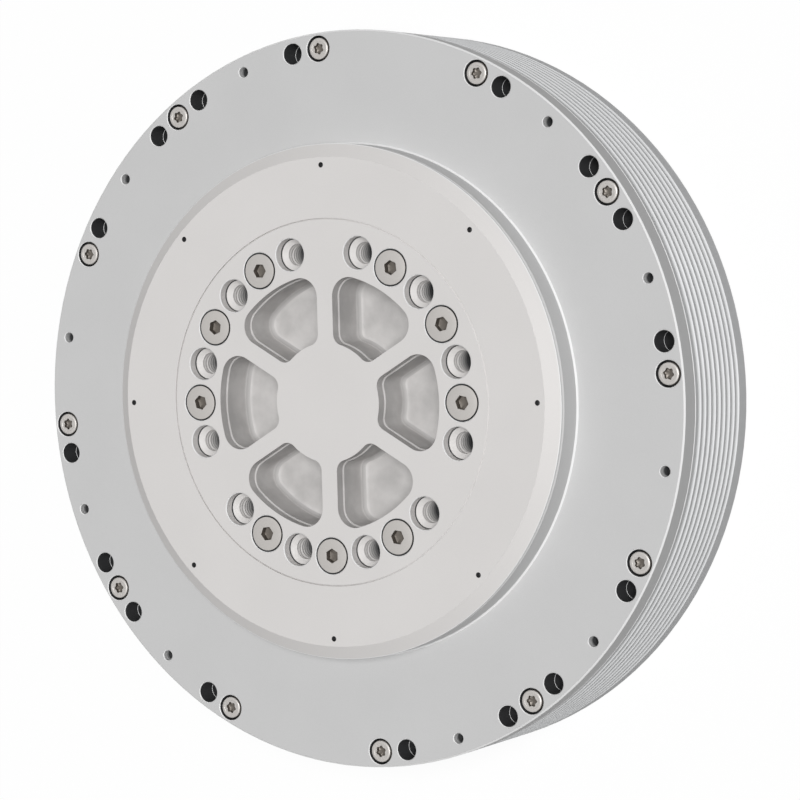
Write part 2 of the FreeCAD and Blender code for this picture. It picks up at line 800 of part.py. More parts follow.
def hub_plate():
    plate = turned((0, carrier_top), (hub_r, carrier_top), (hub_r, face_z - hub_c),
                   (hub_r - hub_c, face_z), (0, face_z))
    tools = rods(clear_r, carrier_top - over, face_z + over, bolt_r, tap_angles())
    tools += mouths(clear_r, face_z, bolt_r, tap_angles())
    tools += mouths(flat_mouth_r, face_z, bolt_r, flat_screw_angles())
    for a in flat_screw_angles():
        at = polar(bolt_r, a)
        tools.append(rod(flat_r + clearance, carrier_top - over, face_z, at))
        tools.append(cone(flat_r + clearance, flat_mouth_r, face_z - flat_head_h, face_z - flat_rim, at))
        tools.append(rod(flat_mouth_r, face_z - flat_rim, face_z + over, at))
    pocket = pocket_face(0, carrier_top - over).extrude(Z * (hub_t + 2 * over))
    tools += [rotated(pocket, a) for a in spread(pocket_n, turn_angle)]
    return plate.cut(tools)


def output_disc():
    """Flange round the hub that clamps the bearing's inner ring and covers the collar."""
    chamfer_z = disc_under + rim_land
    seat_r = hub_r + fit
    disc = turned((seat_r, bearing_top), (boss_r, bearing_top), (boss_r, disc_under),
                  (collar_r, disc_under), (collar_r, chamfer_z), (disc_face_r, face_z), (seat_r, face_z))
    angles = spread(spanner_n, turn_angle)
    return disc.cut(rods(spanner_r, face_z - spanner_d, face_z + over, spanner_at, angles))


def carrier_pocket():
    """Pocket with a filleted floor and a chamfered mouth, a little inside the hub plate's."""
    floor = face_z - pocket_d
    pocket = pocket_face(pocket_inset, floor).extrude(Z * (carrier_top - floor + over))
    bottom = [e for e in pocket.Edges if all(abs(v.Z - floor) < fit for v in e.Vertexes)]
    pocket = pocket.makeFillet(pocket_floor_fillet, bottom)
    low = pocket_face(pocket_inset, carrier_top - pocket_c).OuterWire
    high = pocket_face(pocket_inset - pocket_c, carrier_top).OuterWire
    return pocket.fuse(Part.makeLoft([low, high], True, True))


def carrier():
    """Planet carrier: bearing seat, pocketed front, tapped bolt circle, pin seats and posts."""
    seat_z = bearing_z - carrier_seat_t
    body = turned((0, carrier_z), (carrier_neck_r, carrier_z), (carrier_neck_r, seat_z),
                  (carrier_seat_r, seat_z), (carrier_seat_r, bearing_z), (bearing_in_r, bearing_z),
                  (bearing_in_r, bearing_top), (hub_r, bearing_top), (hub_r, carrier_top), (0, carrier_top))
    body = body.fuse(rods(post_r, carrier_plate_top, carrier_z, post_at, post_angles())).removeSplitter()
    tools = [rotated(carrier_pocket(), a) for a in spread(pocket_n, turn_angle)]
    tools += rods(tap_r, carrier_top - tap_d, carrier_top, bolt_r, tap_angles())
    tools += mouths(tap_r, carrier_top, bolt_r, tap_angles(), tap_mouth_r - tap_r)
    flat_end = face_z - flat_l - drill_extra
    tools += rods(flat_r + fit, flat_end, carrier_top + over, bolt_r, flat_screw_angles())
    tools += rods(pin_r, carrier_z - over, carrier_z + pin_seat, centre_r, planet_angles())
    tools += rods(screw_r + fit, carrier_plate_top - over, carrier_plate_top + post_screw_l + thread_end,
                  post_at, post_angles())
    tools.append(rod(spindle_r + nose_bush_t + fit, carrier_z - over, carrier_z + nose_l))
    return body.cut(tools)


def hub_screws():
    head_z = face_z - flat_sink
    screws = []
    for a in flat_screw_angles():
        at = polar(bolt_r, a)
        head = cone(flat_r, flat_head_r, face_z - flat_head_h, face_z - flat_rim, at)
        rim = rod(flat_head_r, face_z - flat_rim, head_z, at)
        shank = rod(flat_r, face_z - flat_l, face_z - flat_head_h, at)
        screw = head.fuse([rim, shank]).removeSplitter()
        screws.append(screw.cut(hexagon(key_af, head_z - key_d, head_z + over, at, a)))
    return screws


def post_angles():
    return spread(planet_n, planet_angle + turn_angle + 180.0 / planet_n)


def carrier_rear_plate():
    plate = tube(shaft_r + rotor_gap, carrier_neck_r, carrier_plate_z, carrier_plate_top)
    tools = rods(pin_r, carrier_plate_z - over, carrier_plate_top + over, centre_r, planet_angles())
    for a in post_angles():
        tools += countersink(carrier_plate_z, carrier_plate_t + over, polar(post_at, a))
    return plate.cut(tools)


def post_screws():
    end = carrier_plate_top + post_screw_l
    return [countersunk(csk_r, csk_h, screw_r, carrier_plate_z, end, polar(post_at, a)) for a in post_angles()]


def planet_pins():
    return rods(pin_r, carrier_plate_z, carrier_z + pin_seat, centre_r, planet_angles())


def planet_bushes():
    bush = tube(pin_r, pin_r + bush_t, gear_z, gear_top)
    return [bush.translated(polar(centre_r, a)) for a in planet_angles()]


def nose_bush():
    return tube(spindle_r + fit, spindle_r + nose_bush_t + fit, carrier_z, carrier_z + nose_l)


# ---------------------------------------------------------------- export
makers = [
    front_plate, finned_housing, rim_screws, front_seal,
    bearing_outer_ring, bearing_inner_ring, crossed_rollers, clamp_ring, output_seal,
    ring_gear, ring_gear_screws, sun_gear,
    stator_core, coils,
    rear_cover, cover_gasket, cover_screws, driver_board, board_screws, transistors, bus_capacitors,
    encoder_sensor, sockets, contacts, rear_bearing_outer, rear_bearing_inner, rear_bearing_balls,
    rotor_hub, rotor_yoke, magnets, encoder_magnet,
    hub_plate, output_disc, carrier, hub_screws, carrier_rear_plate, post_screws, planet_pins,
    planet_bushes, nose_bush,
]
parts = {make.__name__: make() for make in makers}
for k, theta in enumerate(planet_angles()):
    parts["planet_gear_%d" % (k + 1)] = planet_gear(theta)

os.makedirs("parts", exist_ok=True)
for name, shape in parts.items():
    if isinstance(shape, list):
        shape = Part.makeCompound(shape)
    shape.exportStep("parts/%s.step" % name)
    print(name, len(shape.Solids), round(shape.Volume, 1), shape.isValid())
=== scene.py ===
import json
import math

import bmesh
import bpy
from mathutils import Matrix, Vector

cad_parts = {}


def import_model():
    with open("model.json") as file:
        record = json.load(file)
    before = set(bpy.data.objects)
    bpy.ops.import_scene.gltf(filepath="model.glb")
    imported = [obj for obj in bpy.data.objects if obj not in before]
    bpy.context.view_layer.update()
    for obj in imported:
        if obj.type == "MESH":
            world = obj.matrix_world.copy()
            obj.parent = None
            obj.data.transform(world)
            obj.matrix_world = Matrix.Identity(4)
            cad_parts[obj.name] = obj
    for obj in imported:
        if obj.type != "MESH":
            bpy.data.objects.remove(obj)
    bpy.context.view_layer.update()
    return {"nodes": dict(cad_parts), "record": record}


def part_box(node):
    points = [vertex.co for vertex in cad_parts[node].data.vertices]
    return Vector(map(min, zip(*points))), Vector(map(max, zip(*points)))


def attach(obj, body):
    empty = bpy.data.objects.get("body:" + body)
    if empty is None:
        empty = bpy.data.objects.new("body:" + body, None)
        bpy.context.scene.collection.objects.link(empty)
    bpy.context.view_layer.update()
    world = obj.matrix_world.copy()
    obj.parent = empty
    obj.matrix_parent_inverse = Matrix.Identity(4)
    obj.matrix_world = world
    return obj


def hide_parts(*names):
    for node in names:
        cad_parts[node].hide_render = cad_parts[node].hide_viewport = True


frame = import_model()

# Robot joint actuator. Metres, in the frame of the solids: +Z is the joint axis, towards
# the load, and the origin is the centre of the rear face.
MM = 0.001
NODES = frame["nodes"]
MOUNTS = {m["name"]: m for m in frame["record"]["mounts"]}
SLOT_OF = {s["node"]: s["material_slot"] for s in frame["record"]["subparts"]}

# Heights
FRONT_Z = MOUNTS["front_rim"]["pos_m"][2]      # face of the rim
FACE_Z = MOUNTS["output_face"]["pos_m"][2]     # output face
SEAM_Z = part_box("finned_housing")[1].z         # front plate on the housing
CARRIER_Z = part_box("hub_plate")[0].z           # hub plate on the carrier
FLANGE_Z = FRONT_Z + 10.0 * MM                 # outer edge of the output flange

# Radii from the joint axis
BODY_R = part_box("front_plate")[1].x
COLLAR_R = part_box("output_disc")[1].x          # collar and output flange are level
RIM_R = MOUNTS["rim_taps_pair"]["dims"]["spacing_x_mm"] / 2 * MM
HUB_R = MOUNTS["output_bolts"]["dims"]["pcd_mm"] / 2 * MM
SPANNER_R = 73.1 * MM
POCKET_R = 39.7 * MM                           # outer wall of the pockets

# Radii of holes
RIM_HOLE_R = MOUNTS["rim_bolts_20"]["dims"]["hole_r_mm"] * MM
RIM_TAP_R = MOUNTS["rim_taps_pair"]["dims"]["hole_r_mm"] * MM
HUB_TAP_R = MOUNTS["output_bolts"]["dims"]["hole_r_mm"] * MM
CBORE_R = 4.1 * MM                             # round the rim's cap screws
CLEAR_R = 5.1 * MM                             # hub plate's holes over the tapped ones
FLAT_MOUTH_R = 5.75 * MM                       # round the flat heads
SPANNER_HOLE_R = 0.85 * MM

# Hole circles: radius, first angles and the step after which they repeat, in degrees
TURN = 10.9                                    # rest angle of the output flange
RIM_THROUGH = (RIM_R, (20, 40, 50, 70), 90)
RIM_BORES = (RIM_R, (15,), 30)
RIM_SMALL = (RIM_R, (0,), 30)
HUB_FLATS = (HUB_R, (TURN,), 30)
HUB_CLEAR = (HUB_R, (TURN + 15,), 30)
SPANNER_CIRCLE = (SPANNER_R, (TURN,), 45)
RIM_SCREWS = [15 + 30 * k for k in range(12)]
RIM_TAPS = [30 * k for k in range(12) if k not in (3, 9)]
HUB_SCREWS = [TURN + 30 * k for k in range(12) if k % 4 != 3]
HUB_TAPS = [TURN + 15 + 30 * k for k in range(12)]

# Details that the painted shade and painted highlights follow
EDGE = 0.5 * MM                                # broken edges of the turned parts
FLANGE_EDGE = 0.25 * MM
MOUTH = 0.27 * MM                              # broken edges of the holes
GROOVE_D = 1.2 * MM                            # cooling grooves
POCKET_D = 15.0 * MM
FILLET_MIDDLE = 0.7 * MM                       # above the pockets' floors
FILLET_BAND = 0.9 * MM
MATCH = 0.03 * MM                              # how near a point lies to the surface that it is on
SOFT = 0.05 * MM                               # width over which one finish goes over into the next
WALL_IN, WALL_OUT = 0.06 * MM, 0.14 * MM       # outside a hole's radius, where its wall's finish ends

# Shares of the own colour that give painted shade and painted highlights, and the colours painted in holes
# and on edges
# painted shade in the pockets and on their fillets
POCKET_PAINTED_SHADE = 0.66
FILLET_PAINTED_SHADE = 0.60
# painted shade on the turned side
SIDE_PAINTED_SHADE = 0.88
# painted highlight at the grooves' edges and painted shade at their floors
GROOVE_PAINTED_HIGHLIGHT = 1.24
GROOVE_PAINTED_SHADE = 0.5
HOLE_PAINTED_SHADE = (0.055, 0.056, 0.058, 1.0)         # painted shade in the deep holes
EDGE_PAINTED_HIGHLIGHT = (0.80, 0.80, 0.80, 1.0)          # painted highlights on the cut edges

# Camera: the part is turned by yaw, pitch and roll, then slid, behind the lens
CAM_LENS = 131.0
CAM_DISTANCE = 0.9075                          # along the view, to the centre of the rim's face
CAM_YAW, CAM_PITCH, CAM_ROLL = -30.65, 2.63, 1.54
CAM_SLIDE = (-0.01585, -0.00016)

# Light and floor
AMBIENT = 0.11
KEY_FROM = (0.42, 0.08, 0.90)                  # to the right, a little up, and out of the rim's face
KEY_STRENGTH = 2.88
KEY_ANGLE = 25
FLOOR_HALF = 4.0
FLOOR_DROP = 0.2 * MM
FLOOR_TONE = 0.3                               # of the floor, where it only lights the part
FLOOR_GLOW = 0.87                              # share of plain white in the floor that is seen
FLOOR_ROUGH = 0.8


# ---------------------------------------------------------------- camera
def turn(degrees, axis):
    return Matrix.Rotation(math.radians(degrees), 4, axis)


def camera():
    """Camera that sees the part turned and slid behind its lens."""
    data = bpy.data.cameras.new("camera")
    data.lens = CAM_LENS
    data.clip_start = 0.01
    data.clip_end = 50.0
    cam = bpy.data.objects.new("camera", data)
    bpy.context.scene.collection.objects.link(cam)
    turned = turn(CAM_ROLL, "Z") @ turn(CAM_PITCH, "X") @ turn(CAM_YAW, "Y") @ turn(-TURN, "Z")
    away = Matrix.Translation((*CAM_SLIDE, -CAM_DISTANCE))
    seen = away @ turned @ Matrix.Translation((0, 0, -FRONT_Z))
    cam.matrix_world = seen.inverted()
    bpy.context.scene.camera = cam


# ---------------------------------------------------------------- shader helper
class Shader:
    """Short way to build one procedural material."""

    def __init__(self, name):
        self.mat = bpy.data.materials.new(name)
        self.mat.use_nodes = True
        self.nodes = self.mat.node_tree.nodes
        self.links = self.mat.node_tree.links
        self.bsdf = self.nodes["Principled BSDF"]
        self.coords = self.nodes.new("ShaderNodeTexCoord").outputs["Object"]

    def link(self, value, socket):
        """Links a socket, or writes a number or colour on the socket itself."""
        if isinstance(value, bpy.types.NodeSocket):
            self.links.new(value, socket)
        else:
            socket.default_value = value

    def math(self, operation, *values):
        node = self.nodes.new("ShaderNodeMath")
        node.operation = operation
        for value, socket in zip(values, node.inputs):
            self.link(value, socket)
        return node.outputs[0]

    def squares(self, a, b):
        """Root of the sum of two squares."""
        return self.math("SQRT", self.math("ADD", self.math("MULTIPLY", a, a), self.math("MULTIPLY", b, b)))

    def noise(self, scale, detail):
        node = self.nodes.new("ShaderNodeTexNoise")
        self.link(self.coords, node.inputs["Vector"])
        node.inputs["Scale"].default_value = scale
        node.inputs["Detail"].default_value = detail
        return node.outputs[0]

    def between(self, value, low, high, to_low=0.0, to_high=1.0):
        """Carries a range of values over to another range, and stays inside it."""
        node = self.nodes.new("ShaderNodeMapRange")
        for socket, v in zip(node.inputs, (value, low, high, to_low, to_high)):
            self.link(v, socket)
        return node.outputs[0]

    def mix(self, factor, a, b):
        node = self.nodes.new("ShaderNodeMix")
        node.data_type = "RGBA"
        colours = [s for s in node.inputs if s.type == "RGBA"]
        self.link(factor, node.inputs[0])
        self.link(a, colours[0])
        self.link(b, colours[1])
        return [s for s in node.outputs if s.type == "RGBA"][0]

    def place(self):
        """Coordinates of the shaded point."""
        node = self.nodes.new("ShaderNodeSeparateXYZ")
        self.link(self.coords, node.inputs[0])
        return node.outputs

    def radius(self):
        """Distance from the joint axis, and the height, of the shaded point."""
        x, y, z = self.place()
        return self.squares(x, y), z

    def to_axes(self, pitch, firsts, step):
        """Distance to the nearest of the axes that stand at the radius pitch, step degrees apart."""
        x, y, _ = self.place()
        angle = self.math("ARCTAN2", y, x)
        r, _ = self.radius()
        half = math.radians(step / 2)
        nearest = None
        for first in firsts:
            off = self.math("WRAP", self.math("SUBTRACT", angle, math.radians(first)), half, -half)
            across = self.math("MULTIPLY", self.math("SINE", off), pitch)
            along = self.math("SUBTRACT", r, self.math("MULTIPLY", self.math("COSINE", off), pitch))
            gap = self.squares(across, along)
            nearest = gap if nearest is None else self.math("MINIMUM", nearest, gap)
        return nearest

    def below(self, height, blur=0.04 * MM):
        """1 below a height and 0 above it, with a change as tall as the blur."""
        _, z = self.radius()
        return self.between(z, height - blur / 2, height + blur / 2, 1.0, 0.0)

    def above(self, height):
        _, z = self.radius()
        return self.between(z, height, height + MM)

    def about(self, value, middle, thickness):
        """1 where a value lies within half a thickness of the middle, with soft ends."""
        off = self.math("ABSOLUTE", self.math("SUBTRACT", value, middle))
        return self.between(off, thickness * 0.5, thickness * 0.5 + SOFT, 1.0, 0.0)

    def band(self, height, thickness):
        _, z = self.radius()
        return self.about(z, height, thickness)

    def mouth_band(self, face):
        """1 at the height of the broken edges under a face, but not on the face itself."""
        return self.band(face - MOUTH / 2 - MATCH, MOUTH - 2 * MATCH)

    def inside(self, distance, radius):
        """1 on the walls of the holes with this radius, 0 outside their mouths."""
        return self.between(distance, radius + WALL_IN, radius + WALL_OUT, 1.0, 0.0)

    def mouth(self, distance, radius):
        """1 on the broken edge round the mouths of the holes with this radius."""
        return self.about(distance, radius + MOUTH / 2, MOUTH)

    def near_circle(self, radius, height, reach):
        """1 within reach of a circle round the joint axis."""
        r, z = self.radius()
        gap = self.squares(self.math("SUBTRACT", r, radius), self.math("SUBTRACT", z, height))
        return self.between(gap, reach * 0.9, reach, 1.0, 0.0)

    def both(self, a, b):
        return self.math("MULTIPLY", a, b)

    def most(self, *masks):
        total = masks[0]
        for mask in masks[1:]:
            total = self.math("MAXIMUM", total, mask)
        return total

    def bump(self, height, depth):
        node = self.nodes.new("ShaderNodeBump")
        node.inputs["Strength"].default_value = 1.0
        node.inputs["Distance"].default_value = depth
        self.link(height, node.inputs["Height"])
        return node.outputs[0]

    def set(self, **inputs):
        for key, value in inputs.items():
            self.link(value, self.bsdf.inputs[key.replace("_", " ")])
        return self.mat


def shade(colour, factor):
    return (*[min(c * factor, 1.0) for c in colour], 1.0)


# ---------------------------------------------------------------- painted shade in holes and painted highlights on edges
def rim_hole_shade(s, top):
    """Painted shade: 1 on the walls of the rim's holes below a face at height top, deeper down in tapped
    ones.
    """
    through = s.inside(s.to_axes(*RIM_THROUGH), RIM_HOLE_R)
    bores = s.math("SUBTRACT", s.inside(s.to_axes(*RIM_BORES), CBORE_R), s.below(SEAM_Z))
    walls = s.both(s.most(through, bores), s.below(top - MOUTH))
    taps = s.inside(s.to_axes(*RIM_SMALL), RIM_TAP_R)
    half_dark, fade, rear_clear = 1.8 * MM, 2.4 * MM, MM
    depths = s.both(s.below(top - half_dark, fade), s.above(rear_clear))
    return s.most(walls, s.both(taps, depths))


def hub_hole_shade(s, top):
    """Painted shade: 1 in the spanner holes, round the screws, under the hub plate and deep in the tapped
    holes.
    """
    spanner_lip, seam_up, seam_h, half_dark, fade = 0.1 * MM, 0.15 * MM, 0.35 * MM, 6.0 * MM, 7.0 * MM
    spanner = s.both(s.inside(s.to_axes(*SPANNER_CIRCLE), SPANNER_HOLE_R), s.below(top - spanner_lip))
    round_screws = s.both(s.inside(s.to_axes(*HUB_FLATS), FLAT_MOUTH_R), s.below(top - MOUTH))
    to_taps = s.to_axes(*HUB_CLEAR)
    seam = s.both(s.inside(to_taps, CLEAR_R), s.band(CARRIER_Z + seam_up, seam_h))
    taps = s.both(s.inside(to_taps, HUB_TAP_R), s.below(CARRIER_Z - half_dark, fade))
    return s.most(spanner, round_screws, seam, taps)


def rim_edge_highlights(s):
    """1 where highlights are painted on the cut edges of the housing and the front plate."""
    reach = EDGE * 0.72                        # from the middle of a bevel to its ends
    circles = [s.near_circle(BODY_R - EDGE / 2, FRONT_Z - EDGE / 2, reach),
               s.near_circle(BODY_R - EDGE / 2, SEAM_Z - EDGE / 2, reach),
               s.near_circle(COLLAR_R + EDGE / 2, FRONT_Z + EDGE / 2, reach)]
    holes = ((RIM_THROUGH, RIM_HOLE_R), (RIM_BORES, CBORE_R), (RIM_SMALL, RIM_TAP_R))
    mouths = [s.mouth(s.to_axes(*places), radius) for places, radius in holes]
    faces = s.math("ADD", s.mouth_band(FRONT_Z), s.mouth_band(SEAM_Z))
    return s.most(*circles, s.both(s.most(*mouths), faces))


def hub_edge_highlights(s):
    """1 where highlights are painted on the cut edges of the output flange."""
    outer = s.near_circle(COLLAR_R, FLANGE_Z, FLANGE_EDGE)
    mouths = [s.mouth(s.to_axes(*HUB_FLATS), FLAT_MOUTH_R), s.mouth(s.to_axes(*HUB_CLEAR), CLEAR_R)]
    return s.most(outer, s.both(s.most(*mouths), s.mouth_band(FACE_Z)))


# ---------------------------------------------------------------- tones: painted shade and painted highlights
def paint_pocket_shade(s, base, colour):
    """Painted shade in the pockets of the output flange, made patchy by a noise, and deeper painted shade
    on the fillets.
    """
    r, _ = s.radius()
    fade, lip = 0.3 * MM, 0.15 * MM
    inside = s.both(s.between(r, POCKET_R, POCKET_R + fade, 1.0, 0.0), s.below(FACE_Z - lip))
    shade_patches = s.between(s.noise(120.0, 4.0), *NOISE_SPAN, 0.55, 1.0)
    base = s.mix(s.both(inside, shade_patches), base, shade(colour, POCKET_PAINTED_SHADE))
    fillet = s.both(inside, s.band(FACE_Z - POCKET_D + FILLET_MIDDLE, FILLET_BAND))
    return s.mix(fillet, base, shade(colour, FILLET_PAINTED_SHADE))


def paint_side_shade(s, base, colour):
    """Painted shade on the turned side."""
    r, _ = s.radius()
    side = s.between(s.math("SUBTRACT", BODY_R, r), MATCH, MATCH + SOFT, 1.0, 0.0)
    return s.mix(side, base, shade(colour, SIDE_PAINTED_SHADE))


def paint_groove_light(s, base, colour):
    """Painted highlights at the grooves' edges and painted shade at their floors, between lands with the
    side's painted shade.
    """
    r, _ = s.radius()
    deep = s.math("SUBTRACT", BODY_R, r)
    lip, rear_clear = 0.1 * MM, MM
    down = s.between(deep, lip, GROOVE_D)
    flank = s.mix(down, shade(colour, GROOVE_PAINTED_HIGHLIGHT), shade(colour, GROOVE_PAINTED_SHADE))
    in_groove = s.both(s.between(deep, 1.04 * GROOVE_D, 1.1 * GROOVE_D, 1.0, 0.0), s.above(rear_clear))
    return paint_side_shade(s, s.mix(in_groove, base, flank), colour)


# ---------------------------------------------------------------- materials
SPECULAR = 0.25
GRAIN_SPREAD = 0.025                           # lighter and darker than the colour
BROAD_SHARE, FINE_SHARE = 0.4, 0.6             # of the two grains in the colour
NOISE_SPAN = (0.35, 0.65)                      # where most of a noise lies
ROUGH_SPAN = (0.3, 0.7)                        # where nearly all of it lies

# Size of the broad and the fine grain, pitch of the tool rings in millimetres, and their share
BLASTED = (40.0, 5200.0, 0.45, 0.2)
TURNED = (60.0, 2600.0, 0.25, 0.5)
STACKED = (60.0, 2600.0, 0.5, 1.0)


def metal(name, colour, metallic, rough, grain, depth, holes=None, top=FRONT_Z, edges=None, tones=None):
    """Machined metal: fine grain over rings round the joint axis, as deep as the depth in millimetres, with
    painted shade and painted highlights from the tones, the edges and the holes.
    """
    broad_scale, fine_scale, pitch, rings = grain
    s = Shader(name)
    r, z = s.radius()
    broad = s.noise(broad_scale, 2.0)
    fine = s.noise(fine_scale, 2.0)
    wave = s.math("SINE", s.math("MULTIPLY", s.math("ADD", r, z), 2 * math.pi / (pitch * MM)))
    tone = s.math("ADD", s.math("MULTIPLY", broad, BROAD_SHARE), s.math("MULTIPLY", fine, FINE_SHARE))
    dull, light = shade(colour, 1 - GRAIN_SPREAD), shade(colour, 1 + GRAIN_SPREAD)
    base = s.mix(s.between(tone, *NOISE_SPAN), dull, light)
    # painted shade and painted highlights by place on the surface
    if tones is not None:
        base = tones(s, base, colour)
    # painted highlights on the edges
    if edges is not None:
        base = s.mix(edges(s), base, EDGE_PAINTED_HIGHLIGHT)
    # painted shade in the holes
    if holes is not None:
        base = s.mix(holes(s, top), base, HOLE_PAINTED_SHADE)
    height = s.math("ADD", fine, s.math("MULTIPLY", wave, rings))
    return s.set(Base_Color=base, Metallic=metallic, Specular_IOR_Level=SPECULAR,
                 Roughness=s.between(broad, *ROUGH_SPAN, rough - 0.03, rough + 0.03),
                 Normal=s.bump(height, depth * MM))


def plain(name, colour, rough, grain=900.0, depth=0.03, metallic=0.0):
    """Moulded, painted or plated surface with a fine grain, as deep as the depth in millimetres."""
    s = Shader(name)
    broad = s.noise(90.0, 3.0)
    fine = s.noise(grain, 4.0)
    base = s.mix(broad, shade(colour, 0.85), shade(colour, 1.15))
    return s.set(Base_Color=base, Metallic=metallic, Normal=s.bump(fine, depth * MM),
                 Roughness=s.between(fine, *ROUGH_SPAN, rough - 0.05, rough + 0.08))


def output_aluminium(name):
    return metal(name, (0.682, 0.665, 0.654), 0.07, 0.62, BLASTED, 0.012,
                 holes=hub_hole_shade, top=FACE_Z, edges=hub_edge_highlights, tones=paint_pocket_shade)


def plate_aluminium(name):
    return metal(name, (0.572, 0.572, 0.572), 0.10, 0.58, BLASTED, 0.012,
                 holes=rim_hole_shade, edges=rim_edge_highlights, tones=paint_side_shade)


def fin_aluminium(name):
    return metal(name, (0.555, 0.56, 0.565), 0.15, 0.58, TURNED, 0.006,
                 holes=rim_hole_shade, top=SEAM_Z, edges=rim_edge_highlights, tones=paint_groove_light)


# Colour, metallic share, roughness, grain and depth
METALS = {
    "rotor_aluminium": ((0.62, 0.63, 0.64), 0.6, 0.35, TURNED, 0.006),
    "screw_steel": ((0.51, 0.489, 0.468), 0.35, 0.42, TURNED, 0.004),
    "gear_steel": ((0.42, 0.42, 0.43), 0.9, 0.35, TURNED, 0.006),
    "bearing_steel": ((0.62, 0.62, 0.63), 0.95, 0.18, TURNED, 0.002),
    "lamination_steel": ((0.26, 0.27, 0.29), 0.8, 0.45, STACKED, 0.05),
    "bronze": ((0.62, 0.44, 0.22), 0.9, 0.35, TURNED, 0.006),
}

# Colour, roughness, grain, depth and metallic share
PLAINS = {
    # dark finish of the screws: painted shade round their heads and in their sockets
    "socket_steel": ((0.13, 0.115, 0.10), 0.35, 1500.0, 0.02, 0.5),
    "magnet_alloy": ((0.55, 0.55, 0.56), 0.3, 1500.0, 0.01, 0.9),
    "copper_winding": ((0.66, 0.30, 0.12), 0.35, 1200.0, 0.05, 0.6),
    "seal_rubber": ((0.022, 0.022, 0.023), 0.6),
    "gasket_rubber": ((0.03, 0.03, 0.03), 0.7),
    "board_laminate": ((0.012, 0.085, 0.045), 0.35, 400.0, 0.02),
    "chip_resin": ((0.02, 0.02, 0.022), 0.5, 2500.0, 0.02),
    "capacitor_can": ((0.6, 0.6, 0.62), 0.25, 2000.0, 0.005, 0.95),
    "socket_plastic": ((0.025, 0.025, 0.028), 0.45, 1800.0, 0.02),
    "contact_brass": ((0.75, 0.55, 0.20), 0.25, 2000.0, 0.004, 1.0),
}


def all_materials():
    """Every finish by the name of its slot, and the screws' dark one, which is painted shade."""
    cut = (plate_aluminium, fin_aluminium, output_aluminium)
    made = {make.__name__: make(make.__name__) for make in cut}
    made.update({name: metal(name, *look) for name, look in METALS.items()})
    made.update({name: plain(name, *look) for name, look in PLAINS.items()})
    return made


MATERIALS = all_materials()


def dress_nodes():
    for name, obj in NODES.items():
        for place in obj.material_slots:
            place.material = MATERIALS[SLOT_OF[name]]


# ---------------------------------------------------------------- outlines
def circle(radius):
    return lambda a: radius


def hexagon(across):
    """Outline of a hexagon socket, a corner on each sixth of a turn."""
    return lambda a: across / 2 / math.cos(a % math.radians(60) - math.radians(30))


def six_lobed(outer, inner):
    return lambda a: (outer + inner) / 2 + (outer - inner) / 2 * math.cos(6 * a)


def grown(outline, by):
    return lambda a: outline(a) + by


def shrunk(outline, share):
    return lambda a: outline(a) * share


# ---------------------------------------------------------------- pieces
SIDES = 72                                     # points round a screw
TURN_STEPS = 32                                # points in a turn of thread
SHARP = 32                                     # angle from which an edge stays sharp, in degrees
BRIGHT, PAINTED_DARK = 0, 1                            # finishes of a screw; the dark one is painted shade on the heads' sides and in the sockets


def add_piece(name, bm, body, finishes):
    """Turns mesh code into a smooth, sharp-edged piece that rides on a body."""
    mesh = bpy.data.meshes.new(name)
    bm.to_mesh(mesh)
    bm.free()
    mesh.polygons.foreach_set("use_smooth", [True] * len(mesh.polygons))
    mesh.set_sharp_from_angle(angle=math.radians(SHARP))
    for finish in finishes:
        mesh.materials.append(MATERIALS[finish])
    piece = bpy.data.objects.new(name, mesh)
    bpy.context.scene.collection.objects.link(piece)
    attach(piece, body)
    return piece


def round_point(radius, angle, z):
    return Vector((radius * math.cos(angle), radius * math.sin(angle), z))


def loft(bm, at, spin, rings):
    """Closed skin through rings of (outline, height, finish), from the lowest to the socket's floor."""
    angles = [2 * math.pi * k / SIDES for k in range(SIDES)]
    loops = []
    for outline, z, _ in rings:
        loops.append([bm.verts.new(at + round_point(outline(a), a + spin, z)) for a in angles])
    bm.faces.new(list(reversed(loops[0])))
    for low, high, (_, _, finish) in zip(loops, loops[1:], rings[1:]):
        for k in range(SIDES):
            n = (k + 1) % SIDES
            bm.faces.new((low[k], low[n], high[n], high[k])).material_index = finish
    bm.faces.new(loops[-1]).material_index = rings[-1][2]


def screw_set(name, node, body, pitch, angles, rings, spin):
    """Screws like those of a node, each turned by a spin more than the last."""
    bm = bmesh.new()
    for k, a in enumerate(angles):
        loft(bm, round_point(pitch, math.radians(a), 0), math.radians(spin * k), rings)
    piece = add_piece(name, bm, body, ("screw_steel", "socket_steel"))
    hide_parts(node)


def socket_rings(outline, top, depth, bevel):
    """Rings of a drive socket: bevelled mouth, straight walls and a drilled point."""
    point_share, point_d = 0.45, 0.35 * MM
    # the socket's walls and point get the screws' painted shade
    return [(grown(outline, bevel), top, BRIGHT), (outline, top - bevel, BRIGHT),
            (outline, top - depth, PAINTED_DARK), (shrunk(outline, point_share), top - depth - point_d, PAINTED_DARK)]


